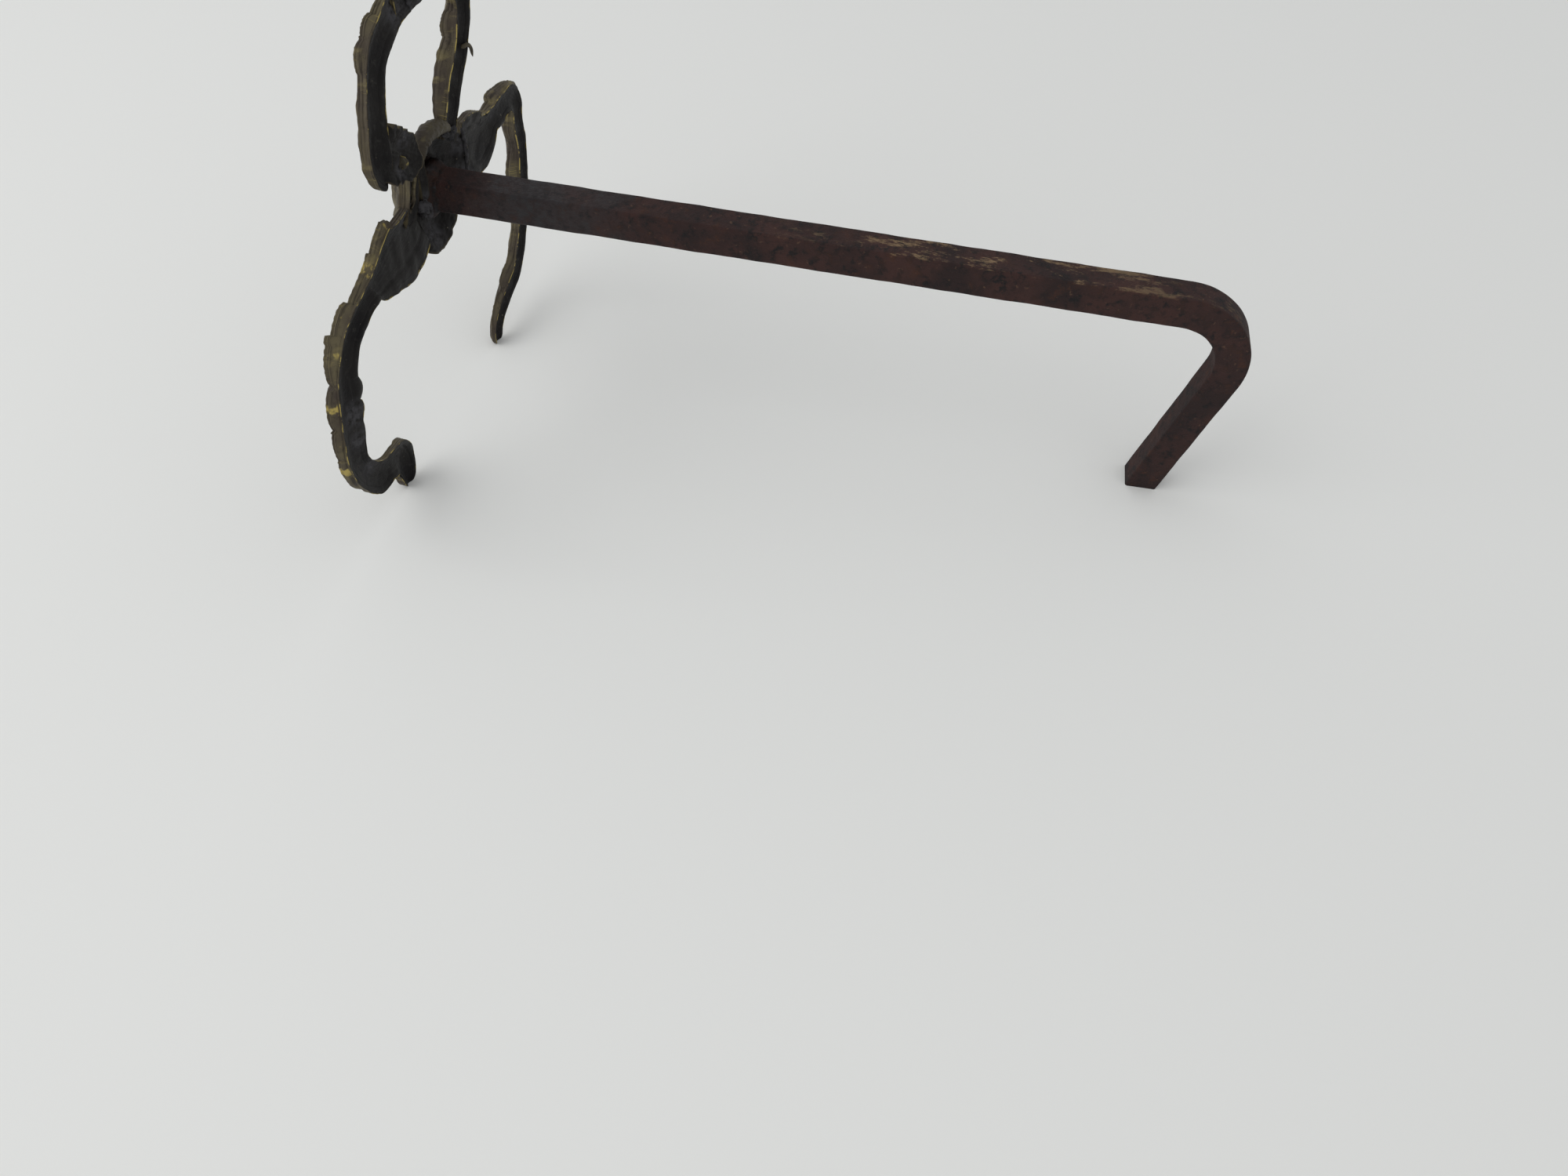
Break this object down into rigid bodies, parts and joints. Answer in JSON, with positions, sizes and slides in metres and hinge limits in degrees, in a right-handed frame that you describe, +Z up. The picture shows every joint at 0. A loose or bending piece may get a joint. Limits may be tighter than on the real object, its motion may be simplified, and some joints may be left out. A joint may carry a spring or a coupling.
{
  "type": "andiron",
  "caption": "Andiron: square iron log bar, bent down behind as a rear foot, with a rococo scrolled brass front on splayed feet and a loop and crest above.",
  "frame": {"origin": "on the floor, under the middle of the bounding box", "axes": "+Z up; -Y the way the ornamental front faces; +Y back along the log bar; +X to the right as seen from the front"},
  "size_m": [0.2372, 0.4182, 0.3146],
  "materials": {
    "iron": "forged, rusted and scaled",
    "brass": "cast, tarnished olive-brown, edges rubbed bright",
    "dark_brass": "rough, unpolished and blackened, with grey brazing"
  },
  "bodies": {
    "root": {"log_bar": "iron", "bar_collar": "dark_brass", "cartouche": "brass", "left_leg": "brass", "right_leg": "brass", "left_arm": "brass", "right_arm": "brass", "crest": "brass"}
  },
  "joints": []
}
